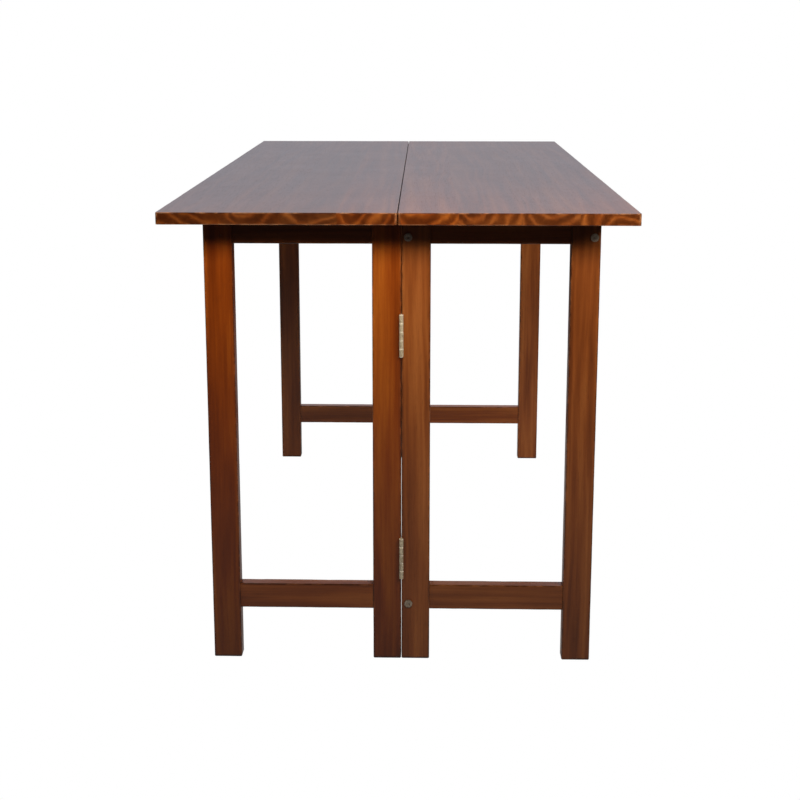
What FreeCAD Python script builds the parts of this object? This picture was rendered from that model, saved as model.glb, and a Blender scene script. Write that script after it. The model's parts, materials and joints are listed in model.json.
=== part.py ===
"""Gateleg table: a fixed half on two end frames, a drop leaf, and two gates that carry the leaf.

Millimetres. +Z is up, X runs across the table (the leaf is on -X), Y runs along it.
The origin is on the floor under the middle of the top. Each piece is one node.
"""

import FreeCAD, Part
import os

Vector = FreeCAD.Vector

# ---------------------------------------------------------------- driving sizes
# The top: two boards of one width, with the seam between them on X = 0.
table_height = 750.0
table_length = 1200.0
table_width = 700.0
top_thickness = 18.0
seam_gap = 1.0
top_corner_radius = 3.0
top_edge_radius = 1.0

# The end frames, and where they stand under the top.
end_overhang = 110.0
frame_width = 305.0
joint_offset = 3.5          # the joint between gate and fixed frame stands this far right of the seam
leg_width = 45.0
leg_depth = 22.0
board_edge_radius = 1.2
foot_chamfer = 1.5
rail_height = 46.0
stretcher_height = 41.0
stretcher_clearance = 86.0  # floor to the underside of an end stretcher
rail_thickness = 18.0

# Long members of the fixed half, which join the two end frames.
apron_height = 70.0
apron_thickness = 20.0
long_stretcher_height = 40.0
long_stretcher_thickness = 22.0
long_stretcher_centre = 96.5
cleat_width = 20.0
cleat_height = 18.0
cleat_end_gap = 30.0

# Mortise and tenon joints of the end frames.
tenon_bolt_web = 3.5        # wood left in a leg between a tenon and the nearest dowel or bolt
tenon_thickness = 8.0
tenon_shoulder = 6.0
tenon_fit = 0.1
rail_pin_radius = 1.6
rail_pin_inset = 17.0       # from the shoulder into the leg
rail_pin_drop = 33.0        # below the underside of the top

# Connector bolts, barrel nuts and dowels that hold the long members between the legs.
bolt_radius = 3.0
bolt_head_radius = 6.5
bolt_head_height = 2.6
bolt_rim_radius = 0.8
bolt_grip = 34.0            # length of bolt inside the long member
bolt_tip = 5.0              # bolt past the middle of the barrel nut
socket_across_flats = 4.0
socket_depth = 1.8
barrel_nut_radius = 5.0
barrel_nut_inset = 2.0      # each end below the face of its board
dowel_radius = 3.5
dowel_depth_leg = 14.0
dowel_depth_board = 20.0
apron_dowel_offset = 22.0
stretcher_dowel_offset = 13.0
drill_fit = 0.05

# Butt hinges between the gates and the centre legs.
gate_hinge_length = 68.0
gate_knuckle_radius = 3.5
gate_pin_radius = 1.7
gate_flap_thickness = 1.0
gate_flap_margin = 2.0      # the flap stops this far short of the leg's far face
gate_flap_recess = 0.85     # each flap is let this deep into its leg
gate_knuckles = 5
lower_hinge_height = 174.5  # the middle of the hinge, above the floor
upper_hinge_drop = 190.0    # the middle of the hinge, below the underside of the top
gate_screw_pitch = 22.0

# Butt hinges under the seam: one flap on the centre apron, one under the leaf.
leaf_hinge_length = 60.0
leaf_knuckle_radius = 3.0
leaf_pin_radius = 1.5
leaf_flap_thickness = 1.2
leaf_flap_width = 24.0
leaf_knuckles = 5
leaf_screw_pitch = 20.0
leaf_screw_inset = 10.0     # from the free edge of a flap
leaf_hinge_end_distance = 190.0   # outer hinges, from the ends of the top

# Wood screws.
screw_head_radius = 2.8
screw_head_height = 1.5
screw_radius = 1.4
screw_tip_radius = 0.2
screw_tip_length = 2.8
screw_slot_width = 0.8
screw_slot_depth = 0.5
hinge_screw_length = 15.0
apron_screw_length = 14.0
leaf_screw_length = 13.0
cleat_screw_length = 30.0
cleat_screw_end_distance = 90.0
cleat_screws_per_row = 4

# Clearances between pieces that move past each other.
flap_gap = 0.4              # between the two closed flaps of a gate hinge
knuckle_gap = 0.3           # end to end between knuckles, and from a knuckle to the wood
pin_fit = 0.05
recess_fit = 0.1            # round a flap in its recess
leaf_rest_gap = 0.4         # from the top of a gate to the underside of the boards

# ---------------------------------------------------------------- places worked out from them
underside = table_height - top_thickness
front_face = -table_length / 2 + end_overhang      # outer face of the front legs
front_inner_face = front_face + leg_depth
joint_gap = 2 * (gate_flap_thickness - gate_flap_recess) + flap_gap   # between a gate and its centre leg
fixed_left = joint_offset + joint_gap / 2           # joint-side face of the fixed centre legs
fixed_right = fixed_left + frame_width
gate_right = joint_offset - joint_gap / 2
gate_left = gate_right - frame_width
leg_middle_y = front_face + leg_depth / 2
rail_front = leg_middle_y - rail_thickness / 2
bolt_line = max(apron_thickness, long_stretcher_thickness) / 2   # from a leg's outer side to its bolts
tenon_length = leg_width - bolt_line - max(bolt_radius, dowel_radius) - tenon_bolt_web
gate_hinge_centres = (lower_hinge_height, underside - upper_hinge_drop)
gate_axis_y = front_face - gate_knuckle_radius - knuckle_gap
leaf_axis_x = fixed_left - leaf_knuckle_radius - knuckle_gap
leaf_axis_z = underside - leaf_knuckle_radius - knuckle_gap
apron_middle_z = underside - apron_height / 2
gate_top = underside - leaf_rest_gap
board_length = -2 * front_inner_face                # long members, between the legs' inner faces

overcut = 1.0                                       # how far a drilled hole runs past its board
flat = 0.01                                         # what counts as level when edges are picked

X_AXIS = Vector(1, 0, 0)
Y_AXIS = Vector(0, 1, 0)
Z_AXIS = Vector(0, 0, 1)
nodes = {}


# ---------------------------------------------------------------- shapes
def box(x0, x1, y0, y1, z0, z1):
    """A box between two corners."""
    return Part.makeBox(x1 - x0, y1 - y0, z1 - z0, Vector(x0, y0, z0))


def rod(start, direction, radius, length):
    """A cylinder from a point along a direction."""
    return Part.makeCylinder(radius, length, start, direction)


def edges_along(shape, axis):
    """The straight edges of a shape that run along an axis."""
    found = []
    for edge in shape.Edges:
        run = edge.Vertexes[-1].Point - edge.Vertexes[0].Point
        if run.Length > flat and run.cross(axis).Length < flat:
            found.append(edge)
    return found


def eased(shape, axis, radius):
    """A board with its long edges rounded."""
    return shape.makeFillet(radius, edges_along(shape, axis))


def mirrored(shape):
    """The same piece at the back end of the table."""
    return shape.mirror(Vector(0, 0, 0), Y_AXIS)


def at_both_ends(shapes):
    """Pieces of the front end, and the same pieces at the back end."""
    return list(shapes) + [mirrored(shape) for shape in shapes]


def save(name, shapes):
    """Keeps a node: one solid, or a group of separate solids of one kind."""
    solids = shapes if isinstance(shapes, list) else [shapes]
    nodes[name] = solids[0] if len(solids) == 1 else Part.makeCompound(solids)


# ---------------------------------------------------------------- fasteners
def screw_body(point, direction, length, grown):
    """The outline of a countersunk screw whose head is flush at the point."""
    radius = screw_radius + grown
    head = Part.makeCone(screw_head_radius + grown, radius, screw_head_height, point, direction)
    shank_start = point + direction * screw_head_height
    shank_length = length - screw_head_height - screw_tip_length
    shank = rod(shank_start, direction, radius, shank_length)
    tip_start = shank_start + direction * shank_length
    tip = Part.makeCone(radius, screw_tip_radius + grown, screw_tip_length, tip_start, direction)
    return head.fuse([shank, tip]).removeSplitter()


def screw(point, direction, length):
    """A wood screw with a straight slot."""
    across = Z_AXIS.cross(direction) if abs(direction.z) < 0.5 else X_AXIS
    along = direction.cross(across)
    half_long = screw_head_radius + overcut
    corner = point - across * (screw_slot_width / 2) - along * half_long
    width_line = Part.LineSegment(corner, corner + across * screw_slot_width).toShape()
    slot = width_line.extrude(along * (2 * half_long)).extrude(direction * screw_slot_depth)
    return screw_body(point, direction, length, 0.0).cut(slot)


def screw_hole(point, direction, length):
    """The hole that a wood screw fills."""
    return screw_body(point, direction, length, drill_fit)


def drilled(shape, holes):
    """A shape with each hole cut out of it."""
    for hole in holes:
        shape = shape.cut(hole)
    return shape


def screwed_plate(plate, points, inward, length):
    """A hinge plate with its screws, and the holes that they need in the plate and the wood."""
    holes = [screw_hole(point, inward, length) for point in points]
    return {
        "plate": drilled(plate, holes),
        "holes": holes,
        "screws": [screw(point, inward, length) for point in points],
    }


# ---------------------------------------------------------------- tenoned boards of an end frame
def cross_board(left_leg_face, right_leg_face, bottom, top, mortise):
    """A rail or stretcher between two legs, or with mortise set, the space its two tenons need."""
    spare = tenon_fit if mortise else 0.0
    middle = leg_middle_y
    half = tenon_thickness / 2 + spare
    reach = tenon_length + spare
    tenons = box(
        left_leg_face - reach, right_leg_face + reach,
        middle - half, middle + half,
        bottom + tenon_shoulder - spare, top - tenon_shoulder + spare,
    )
    if mortise:
        return tenons
    board = box(
        left_leg_face, right_leg_face,
        rail_front, rail_front + rail_thickness, bottom, top,
    )
    return eased(board, X_AXIS, board_edge_radius).fuse(tenons)


def leg(left, top):
    """A leg board of the front end, from the floor to its top."""
    board = box(left, left + leg_width, front_face, front_inner_face, 0, top)
    board = eased(board, Z_AXIS, board_edge_radius)
    foot = [edge for edge in board.Edges if edge.BoundBox.ZMax < flat]
    return board.makeChamfer(foot_chamfer, foot)


def end_frame(left, right, top):
    """Two legs, a rail and a stretcher: the boards of one end frame."""
    left_face = left + leg_width
    right_face = right - leg_width
    rail_span = (left_face, right_face, top - rail_height, top)
    low_span = (left_face, right_face, stretcher_clearance, stretcher_clearance + stretcher_height)
    mortises = [cross_board(*rail_span, True), cross_board(*low_span, True)]
    return {
        "left_leg": drilled(leg(left, top), mortises),
        "right_leg": drilled(leg(right - leg_width, top), mortises),
        "rail": cross_board(*rail_span, False),
        "stretcher": cross_board(*low_span, False),
    }


# ---------------------------------------------------------------- hinges
def knuckle_spans(count, length):
    """Start and end of each knuckle along the pin, from one end of the hinge."""
    pitch = length / count
    return [(i * pitch, (i + 1) * pitch) for i in range(count)]


def hinge_half(flaps, start, direction, length, radii, count, first):
    """One half of a butt hinge: its flap, and every second knuckle round the pin.

    start is the end of the pin's axis, direction runs along it, radii are the knuckle's and the
    pin's, and first is 0 or 1 for the knuckle that this half begins with.
    """
    knuckle_radius, pin_radius = radii
    plate = flaps[0].fuse(flaps[1:]) if len(flaps) > 1 else flaps[0]
    own = []
    for index, (low, high) in enumerate(knuckle_spans(count, length)):
        if index % 2 == first:
            low_gap = knuckle_gap / 2 if index > 0 else 0.0
            high_gap = knuckle_gap / 2 if index < count - 1 else 0.0
            barrel_start = start + direction * (low + low_gap)
            own.append(rod(barrel_start, direction, knuckle_radius, high - low - low_gap - high_gap))
        else:
            clear_start = start + direction * (low - knuckle_gap / 2)
            clear = rod(clear_start, direction, knuckle_radius + knuckle_gap, high - low + knuckle_gap)
            plate = plate.cut(clear)
    plate = plate.fuse(own)
    bore = rod(start - direction * overcut, direction, pin_radius + pin_fit, length + 2 * overcut)
    return plate.cut(bore).removeSplitter()


def gate_hinge(centre_z):
    """A hinge of the front gate: its two halves, its pin, and its screws for each side."""
    bottom = centre_z - gate_hinge_length / 2
    start = Vector(joint_offset, gate_axis_y, bottom)
    top = bottom + gate_hinge_length
    flap_end = front_inner_face - gate_flap_margin
    radii = (gate_knuckle_radius, gate_pin_radius)
    sides = {}
    # side: the way from the joint into its leg, the first knuckle
    plan = {"gate": (-1, 1), "fixed": (1, 0)}
    for side, (way, first) in plan.items():
        head_x = joint_offset + way * flap_gap / 2
        x0, x1 = sorted((head_x, head_x + way * gate_flap_thickness))
        flap = box(x0, x1, gate_axis_y, flap_end, bottom, top)
        half = hinge_half([flap], start, Z_AXIS, gate_hinge_length, radii, gate_knuckles, first)
        points = [Vector(head_x, leg_middle_y, centre_z + step * gate_screw_pitch) for step in (-1, 0, 1)]
        sides[side] = screwed_plate(half, points, X_AXIS * way, hinge_screw_length)
        recess = box(x0, x1, front_face - overcut, flap_end + recess_fit,
                     bottom - recess_fit, top + recess_fit)
        sides[side]["holes"].append(recess)
    pin = rod(start, Z_AXIS, gate_pin_radius, gate_hinge_length)
    return sides, pin


def leaf_hinge(centre_y):
    """A hinge under the seam: its two halves, its pin, and its screws for each side."""
    y0 = centre_y - leaf_hinge_length / 2
    y1 = centre_y + leaf_hinge_length / 2
    start = Vector(leaf_axis_x, y0, leaf_axis_z)
    radii = (leaf_knuckle_radius, leaf_pin_radius)
    leaf_edge = -seam_gap / 2
    barrel_top = leaf_axis_z + leaf_knuckle_radius
    plate_low = underside - leaf_flap_thickness
    leaf_flap = box(leaf_edge - leaf_flap_width, leaf_edge, y0, y1, plate_low, underside)
    neck = box(leaf_edge - leaf_flap_thickness, leaf_axis_x, y0, y1,
               barrel_top - leaf_flap_thickness, barrel_top)
    apron_flap = box(fixed_left - leaf_flap_thickness, fixed_left, y0, y1,
                     leaf_axis_z - leaf_flap_width, leaf_axis_z)
    screw_line = leaf_flap_width - leaf_screw_inset
    steps = [step * leaf_screw_pitch for step in (-1, 0, 1)]
    leaf_points = [Vector(leaf_edge - screw_line, centre_y + step, plate_low) for step in steps]
    apron_points = [
        Vector(fixed_left - leaf_flap_thickness, centre_y + step, leaf_axis_z - screw_line)
        for step in steps
    ]
    sides = {}
    plan = {"leaf": ([leaf_flap, neck], leaf_points, Z_AXIS, leaf_screw_length, 1),
            "apron": ([apron_flap], apron_points, X_AXIS, apron_screw_length, 0)}
    for side, (flaps, points, inward, length, first) in plan.items():
        half = hinge_half(flaps, start, Y_AXIS, leaf_hinge_length, radii, leaf_knuckles, first)
        sides[side] = screwed_plate(half, points, inward, length)
    pin = rod(start, Y_AXIS, leaf_pin_radius, leaf_hinge_length)
    return sides, pin


# ---------------------------------------------------------------- bolted joints of the fixed half
def hexagon_prism(centre, across_flats, depth):
    """A six-sided prism along +Y, for the socket of a bolt."""
    corner = Vector(across_flats / 3 ** 0.5, 0, 0)
    outline = [centre + FreeCAD.Rotation(Y_AXIS, 60 * i).multVec(corner) for i in range(7)]
    return Part.Face(Part.makePolygon(outline)).extrude(Y_AXIS * depth)


def bolted_joint(x, z, board_thickness, dowel_offset, inside):
    """Bolt, barrel nut and dowels where a long member meets a front leg, with the holes they need.

    inside is 1 or -1, the way along X to the face of the board where the nut's hole opens.
    """
    head_face = front_face - bolt_head_height
    nut_y = front_inner_face + bolt_grip - bolt_tip
    length = leg_depth + bolt_grip
    head = rod(Vector(x, head_face, z), Y_AXIS, bolt_head_radius, bolt_head_height)
    rim = [edge for edge in head.Edges if edge.BoundBox.YMax < head_face + flat]
    head = head.makeFillet(bolt_rim_radius, rim)
    socket = hexagon_prism(Vector(x, head_face, z), socket_across_flats, socket_depth)
    shank = rod(Vector(x, front_face, z), Y_AXIS, bolt_radius, length)
    bolt = head.cut(socket).fuse(shank)
    bolt_hole = rod(Vector(x, front_face, z), Y_AXIS, bolt_radius + drill_fit, length + overcut)
    nut_length = board_thickness - 2 * barrel_nut_inset
    nut_start = Vector(x - nut_length / 2, nut_y, z)
    nut = rod(nut_start, X_AXIS, barrel_nut_radius, nut_length).cut(bolt_hole)
    blind_end = Vector(x - inside * nut_length / 2, nut_y, z)
    nut_hole = rod(blind_end, X_AXIS * inside, barrel_nut_radius + drill_fit, board_thickness)
    dowels = []
    dowel_holes = []
    dowel_length = dowel_depth_leg + dowel_depth_board
    for side in (-1, 1):
        start = Vector(x, front_inner_face - dowel_depth_leg, z + side * dowel_offset)
        hole_start = start - Y_AXIS * overcut
        dowels.append(rod(start, Y_AXIS, dowel_radius, dowel_length))
        dowel_holes.append(rod(hole_start, Y_AXIS, dowel_radius + drill_fit, dowel_length + 2 * overcut))
    return {"bolt": bolt, "nut": nut, "dowels": dowels, "holes": [bolt_hole, nut_hole] + dowel_holes}


# ---------------------------------------------------------------- the whole table
def build_top():
    """The two boards of the top, with their arrises and outer corners rounded."""
    half_width = table_width / 2
    half_length = table_length / 2
    spans = {"fixed_top": (seam_gap / 2, half_width), "leaf_top": (-half_width, -seam_gap / 2)}
    boards = {}
    for name, (x0, x1) in spans.items():
        board = box(x0, x1, -half_length, half_length, underside, table_height)
        outer = [edge for edge in edges_along(board, Z_AXIS) if abs(edge.CenterOfMass.x) > half_width - flat]
        board = board.makeFillet(top_corner_radius, outer)
        rim = [edge for edge in board.Edges if edge.BoundBox.ZLength < flat]
        boards[name] = board.makeFillet(top_edge_radius, rim)
    return boards


def join_end_frames(boards, fixed):
    """The aprons and the long stretcher, between the legs, with their bolts, nuts and dowels."""
    half = board_length / 2
    # name: left side, thickness, middle height, height, dowels from the bolt, inner face, leg
    members = {
        "outer_apron": (fixed_right - apron_thickness, apron_thickness, apron_middle_z, apron_height,
                        apron_dowel_offset, -1, "right_leg"),
        "centre_apron": (fixed_left, apron_thickness, apron_middle_z, apron_height,
                         apron_dowel_offset, 1, "left_leg"),
        "long_stretcher": (fixed_left, long_stretcher_thickness, long_stretcher_centre,
                           long_stretcher_height, stretcher_dowel_offset, 1, "left_leg"),
    }
    bolts = []
    nuts = []
    dowels = []
    for name, (x0, thickness, middle_z, height, dowel_offset, inside, leg_name) in members.items():
        board = box(x0, x0 + thickness, -half, half, middle_z - height / 2, middle_z + height / 2)
        joint = bolted_joint(x0 + thickness / 2, middle_z, thickness, dowel_offset, inside)
        boards[name] = drilled(eased(board, Y_AXIS, board_edge_radius), at_both_ends(joint["holes"]))
        fixed[leg_name] = drilled(fixed[leg_name], joint["holes"])
        bolts.append(joint["bolt"])
        nuts.append(joint["nut"])
        dowels.extend(joint["dowels"])
    save("frame_bolts", at_both_ends(bolts))
    save("barrel_nuts", at_both_ends(nuts))
    save("frame_dowels", at_both_ends(dowels))


def hang_gates(fixed, gate):
    """The hinges between each gate and its centre leg; returns the gate's own plates and screws."""
    plates = {"gate": [], "fixed": []}
    screws = {"gate": [], "fixed": []}
    pins = []
    for centre_z in gate_hinge_centres:
        sides, pin = gate_hinge(centre_z)
        pins.append(pin)
        for side, made in sides.items():
            plates[side].append(made["plate"])
            screws[side].extend(made["screws"])
        gate["right_leg"] = drilled(gate["right_leg"], sides["gate"]["holes"])
        fixed["left_leg"] = drilled(fixed["left_leg"], sides["fixed"]["holes"])
    save("fixed_hinge_plates", at_both_ends(plates["fixed"]))
    save("fixed_hinge_screws", at_both_ends(screws["fixed"]))
    save("gate_hinge_pins", at_both_ends(pins))
    return plates["gate"], screws["gate"]


def pin_gate_rail(gate):
    """A pin through the gate's outer rail joint, and its hole in the leg and the tenon."""
    start = Vector(gate_left + leg_width - rail_pin_inset, front_face, underside - rail_pin_drop)
    hole_start = start - Y_AXIS * overcut
    hole = rod(hole_start, Y_AXIS, rail_pin_radius + drill_fit, leg_depth + 2 * overcut)
    gate["left_leg"] = gate["left_leg"].cut(hole)
    gate["rail"] = gate["rail"].cut(hole)
    return rod(start, Y_AXIS, rail_pin_radius, leg_depth)


def save_end_frames(fixed, gate, plates, screws, rail_pin):
    """The boards of the fixed frame and of the gate, and the gate's metal, at the front and back."""
    fixed_names = {"left_leg": "centre_leg", "right_leg": "outer_leg",
                   "rail": "fixed_rail", "stretcher": "fixed_stretcher"}
    gate_names = {"left_leg": "gate_outer_leg", "right_leg": "gate_inner_leg",
                  "rail": "gate_rail", "stretcher": "gate_stretcher"}
    for end, place in (("front_", lambda shape: shape), ("back_", mirrored)):
        for key, name in fixed_names.items():
            save(end + name, place(fixed[key]))
        for key, name in gate_names.items():
            save(end + name, place(gate[key]))
        save(end + "gate_hinge_plates", [place(plate) for plate in plates])
        save(end + "gate_hinge_screws", [place(one) for one in screws])
        save(end + "gate_rail_pin", place(rail_pin))


def hang_leaf(boards):
    """The hinges under the seam, and the screw holes they need in the leaf and the centre apron."""
    reach = table_length / 2 - leaf_hinge_end_distance
    plates = {"leaf": [], "apron": []}
    screws = {"leaf": [], "apron": []}
    pins = []
    for centre_y in (-reach, 0.0, reach):
        sides, pin = leaf_hinge(centre_y)
        pins.append(pin)
        for side, made in sides.items():
            plates[side].append(made["plate"])
            screws[side].extend(made["screws"])
        boards["leaf_top"] = drilled(boards["leaf_top"], sides["leaf"]["holes"])
        boards["centre_apron"] = drilled(boards["centre_apron"], sides["apron"]["holes"])
    for side in plates:
        save("leaf_hinge_" + side + "_plates", plates[side])
        save("leaf_hinge_" + side + "_screws", screws[side])
    save("leaf_hinge_pins", pins)


def screw_down_top(boards):
    """Cleats along the aprons, screwed up into the fixed board and sideways into the aprons."""
    half = board_length / 2 - cleat_end_gap
    middle_z = underside - cleat_height / 2
    first_y = -half + cleat_screw_end_distance
    pitch = -2 * first_y / (cleat_screws_per_row - 1)
    # name: the apron's face, the way from it into the table, the apron
    places = {"centre_cleat": (fixed_left + apron_thickness, 1, "centre_apron"),
              "outer_cleat": (fixed_right - apron_thickness, -1, "outer_apron")}
    screws = []
    for name, (face_x, side, apron) in places.items():
        x0, x1 = sorted((face_x, face_x + side * cleat_width))
        cleat = box(x0, x1, -half, half, underside - cleat_height, underside)
        boards[name] = eased(cleat, Y_AXIS, board_edge_radius)
        ways = []
        for i in range(cleat_screws_per_row):
            below = Vector((x0 + x1) / 2, first_y + i * pitch, underside - cleat_height)
            ways.append((below, Z_AXIS, "fixed_top"))
        for i in range(cleat_screws_per_row - 1):
            beside = Vector(face_x + side * cleat_width, first_y + (i + 0.5) * pitch, middle_z)
            ways.append((beside, X_AXIS * -side, apron))
        for point, inward, into in ways:
            hole = screw_hole(point, inward, cleat_screw_length)
            boards[name] = boards[name].cut(hole)
            boards[into] = boards[into].cut(hole)
            screws.append(screw(point, inward, cleat_screw_length))
    save("cleat_screws", screws)


def build():
    """Every piece of the table, each with the holes that its fasteners need."""
    boards = build_top()
    fixed = end_frame(fixed_left, fixed_right, underside)
    gate = end_frame(gate_left, gate_right, gate_top)
    join_end_frames(boards, fixed)
    gate_plates, gate_screws = hang_gates(fixed, gate)
    rail_pin = pin_gate_rail(gate)
    save_end_frames(fixed, gate, gate_plates, gate_screws, rail_pin)
    hang_leaf(boards)
    screw_down_top(boards)
    for name, shape in boards.items():
        save(name, shape)


build()
os.makedirs("parts", exist_ok=True)
for name, shape in nodes.items():
    shape.exportStep("parts/" + name + ".step")
    print(name, len(shape.Solids), "solids", round(shape.Volume / 1000.0, 2), "cm3")
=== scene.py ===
"""Looks of the gateleg table: its boards, hinges, fasteners and finishes, in a plain pale studio.

Metres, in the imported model's frame. +Z is up, X runs across the table with the leaf on -X, and Y
runs along it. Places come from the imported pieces, and this file adds what their plain solids lack.
"""

import json
import logging
import math
import random
from dataclasses import dataclass, field
from enum import Enum

import bmesh
import bpy
import numpy as np
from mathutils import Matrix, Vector, noise

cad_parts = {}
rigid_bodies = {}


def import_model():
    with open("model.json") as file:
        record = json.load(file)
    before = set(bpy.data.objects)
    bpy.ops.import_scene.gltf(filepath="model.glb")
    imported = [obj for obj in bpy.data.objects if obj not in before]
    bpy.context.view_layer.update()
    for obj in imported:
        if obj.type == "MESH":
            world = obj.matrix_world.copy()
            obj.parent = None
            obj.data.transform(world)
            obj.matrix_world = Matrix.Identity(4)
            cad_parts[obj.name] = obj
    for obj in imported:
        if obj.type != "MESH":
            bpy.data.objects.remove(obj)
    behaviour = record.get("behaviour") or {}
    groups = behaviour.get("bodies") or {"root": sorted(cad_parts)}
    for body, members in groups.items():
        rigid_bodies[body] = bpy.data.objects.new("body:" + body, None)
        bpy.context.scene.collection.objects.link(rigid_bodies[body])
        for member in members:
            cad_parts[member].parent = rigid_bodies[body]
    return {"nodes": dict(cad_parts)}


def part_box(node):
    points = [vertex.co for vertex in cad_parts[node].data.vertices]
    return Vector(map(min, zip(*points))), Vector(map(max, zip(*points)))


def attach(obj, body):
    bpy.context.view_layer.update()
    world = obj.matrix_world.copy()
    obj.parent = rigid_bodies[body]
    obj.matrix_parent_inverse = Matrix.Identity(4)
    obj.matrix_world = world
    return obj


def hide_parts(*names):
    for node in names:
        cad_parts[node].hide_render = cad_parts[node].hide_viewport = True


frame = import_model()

log = logging.getLogger("gateleg_table")

MM = 0.001
END_START = 0.5         # a face's turn toward the grain's own way at which end grain starts to show
END_RISE = 3.0          # how fast it shows from there
LEAST_RADIUS = 0.05 * MM
LEAST_EDGE = 0.4        # how much of an edge a point must be before it wears
EVEN_RUB = 0.35         # the wear that every stretch of an arris shares
RUB_LAYERS = (0.8, 2.1, 3)    # the wear's falling off, its steps in scale and its layers
DENT_START = 0.42       # how high the noise must stand to make a dent
EVEN_WEIGHT = 60        # how much the broad faces lead the shading beside an eased edge

Triple = tuple[float, float, float]
Pair = tuple[float, float]
Colour = Triple
Stops = tuple[tuple[float, Colour], ...]
Socket = bpy.types.NodeSocket
Sockets = bpy.types.bpy_prop_collection
Node = bpy.types.Node
Mesh = bpy.types.Mesh
Material = bpy.types.Material
Piece = bpy.types.Object


class Axis(Enum):
    """A direction of the model's frame, as the index of its coordinate."""

    X = 0
    Y = 1
    Z = 2


class Ease(Enum):
    """How the end of a board is finished where its length stops."""

    BUTT = "left square against its neighbour"
    SHARP = "a saw-clean edge with its corner just broken"
    CHAMFER = "a small flat chamfer"
    ROUND = "rounded over"


# ---------------------------------------------------------------- node graphs
class Graph:
    """A node tree, with short calls that add nodes and join them."""

    def __init__(self, tree: bpy.types.NodeTree) -> None:
        """Args:
            tree: the node tree of a material, world or group.
        """
        self.tree = tree

    def node(self, kind: str, **settings: object) -> Node:
        """Adds a node.

        Args:
            kind: the node's type name without its ShaderNode prefix.
            settings: properties of the node to set.

        Returns:
            The new node.
        """
        made = self.tree.nodes.new("ShaderNode" + kind)
        for name, value in settings.items():
            setattr(made, name, value)
        return made

    def feed(self, socket: Socket, value: object) -> None:
        """Joins an input to a socket, or sets it to a number, a colour or a vector."""
        if isinstance(value, bpy.types.NodeSocket):
            self.tree.links.new(value, socket)
        elif isinstance(value, tuple) and len(value) == 3 and socket.type == "RGBA":
            socket.default_value = (*value, 1.0)
        else:
            socket.default_value = value

    def fill(self, node: Node, values: dict[str | int, object]) -> Node:
        """Feeds several inputs of a node, each by its name or number, and gives the node back."""
        for name, value in values.items():
            self.feed(node.inputs[name], value)
        return node

    def math(self, operation: str, *values: object, clamp: bool = False) -> Socket:
        """Works out a number with a Math node from its inputs in order, sockets or numbers."""
        made = self.node("Math", operation=operation, use_clamp=clamp)
        return self.fill(made, dict(enumerate(values))).outputs[0]

    def vector(self, operation: str, *values: object) -> Socket:
        """Works out a vector, or its length, with a Vector Math node from its inputs in order."""
        made = self.fill(self.node("VectorMath", operation=operation), dict(enumerate(values)))
        return made.outputs["Value" if operation == "LENGTH" else "Vector"]

    def noise(self, vector: Socket, scale: object, detail: float = 2.0, rough: float = 0.5) -> Node:
        """Adds a noise texture.

        Args:
            vector: the place to read it at.
            scale: how many features there are in a metre, a number or a socket.
            detail: how many finer layers it has.
            rough: how strong the finer layers are.

        Returns:
            The texture node.
        """
        values = {"Vector": vector, "Scale": scale, "Detail": detail, "Roughness": rough}
        return self.fill(self.node("TexNoise"), values)

    def streaks(self, place: Socket, scales: Triple, detail: float = 2.0, rough: float = 0.5) -> Node:
        """Adds a noise texture that has its own number of features a metre along each coordinate."""
        return self.noise(self.vector("MULTIPLY", place, scales), 1.0, detail, rough)

    def spread(self, value: object, low: float, high: float, to: Pair = (0.0, 1.0)) -> Socket:
        """Stretches a range of a number smoothly over another range.

        Args:
            value: the number.
            low: where the range starts.
            high: where it ends.
            to: the two ends of the new range.

        Returns:
            The stretched number.
        """
        made = self.node("MapRange", interpolation_type="SMOOTHSTEP")
        names = ("Value", "From Min", "From Max", "To Min", "To Max")
        return self.fill(made, dict(zip(names, (value, low, high, *to)))).outputs["Result"]

    def blend(self, factor: object, first: object, second: object, mode: str = "MIX") -> Socket:
        """Mixes two colours, with the factor as the share of the second."""
        made = self.node("Mix", data_type="RGBA", blend_type=mode)
        return self.fill(made, {0: factor, 6: first, 7: second}).outputs[2]

    def ramp(self, factor: Socket, stops: Stops) -> Socket:
        """Turns a number into a colour, by stops from 0 to 1 that each have their colour."""
        made = self.node("ValToRGB")
        self.feed(made.inputs[0], factor)
        elements = made.color_ramp.elements
        while len(elements) < len(stops):
            elements.new(1.0)
        for element, (place, colour) in zip(elements, stops):
            element.position = place
            element.color = (*colour, 1.0)
        return made.outputs[0]

    def attribute(self, name: str) -> Node:
        """Reads a named attribute of the mesh."""
        return self.node("Attribute", attribute_type="GEOMETRY", attribute_name=name)

    def relief(self, shader: Node, height: Socket, strength: float, distance: float) -> None:
        """Gives a shader a fine relief.

        Args:
            shader: the shader.
            height: the relief's height, about 0 to 1.
            strength: how strongly it shows.
            distance: how far it stands out.
        """
        made = self.fill(self.node("Bump"), {"Strength": strength, "Distance": distance, "Height": height})
        self.feed(shader.inputs["Normal"], made.outputs["Normal"])


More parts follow.
